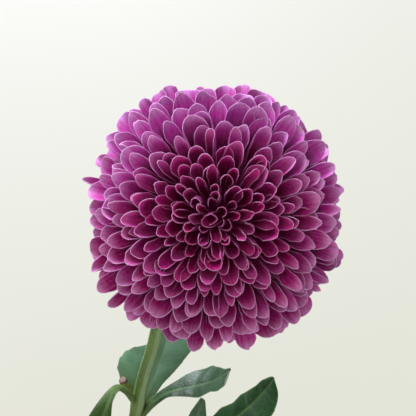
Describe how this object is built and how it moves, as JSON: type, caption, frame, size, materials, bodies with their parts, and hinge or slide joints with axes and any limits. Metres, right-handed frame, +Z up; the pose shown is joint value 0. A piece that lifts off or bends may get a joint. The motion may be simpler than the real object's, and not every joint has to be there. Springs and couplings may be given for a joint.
{
  "type": "ping pong chrysanthemum in vase",
  "caption": "Single globe-shaped chrysanthemum on a cut leafy stem, leaning in the neck of a plain ceramic bottle vase; stands free on its flat foot.",
  "frame": {"origin": "centre of the vase's flat foot, on the surface it stands on", "axes": "+Z up; the bloom faces -Y and leans towards +X"},
  "size_m": [0.1286, 0.1099, 0.3127],
  "materials": {
    "florets_inner": "soft matte petals, dark wine with pale rims",
    "florets_middle": "soft matte petals, wine purple with pale rims",
    "florets_outer": "soft matte petals, violet pink with fine veins",
    "receptacle": "matte green plant tissue",
    "bracts": "matte green bracts with pale edges",
    "stem": "ribbed olive green stem, slight sheen",
    "side_shoot": "yellow green cut shoot",
    "leaf": "dark green leaf, satin, paler underside",
    "stoneware": "warm off-white satin glaze, bare foot"
  },
  "bodies": {
    "root": {"bract_ring_inner": "bracts", "bract_ring_outer": "bracts", "floret_ring_01": "florets_inner", "floret_ring_02": "florets_inner", "floret_ring_03": "florets_inner", "floret_ring_04": "florets_inner", "floret_ring_05": "florets_inner", "floret_ring_06": "florets_middle", "floret_ring_07": "florets_middle", "floret_ring_08": "florets_middle", "floret_ring_09": "florets_outer", "floret_ring_10": "florets_outer", "floret_ring_11": "florets_outer", "floret_ring_12": "florets_outer", "floret_ring_13": "florets_outer", "leaf_back_low": "leaf", "leaf_back_tall": "leaf", "leaf_left_low": "leaf", "leaf_right_low": "leaf", "leaf_right_small": "leaf", "leaf_rim_back": "leaf", "leaf_rim_left": "leaf", "receptacle": "receptacle", "side_shoot_stub": "side_shoot", "stem": "stem", "vase": "stoneware"}
  },
  "joints": []
}
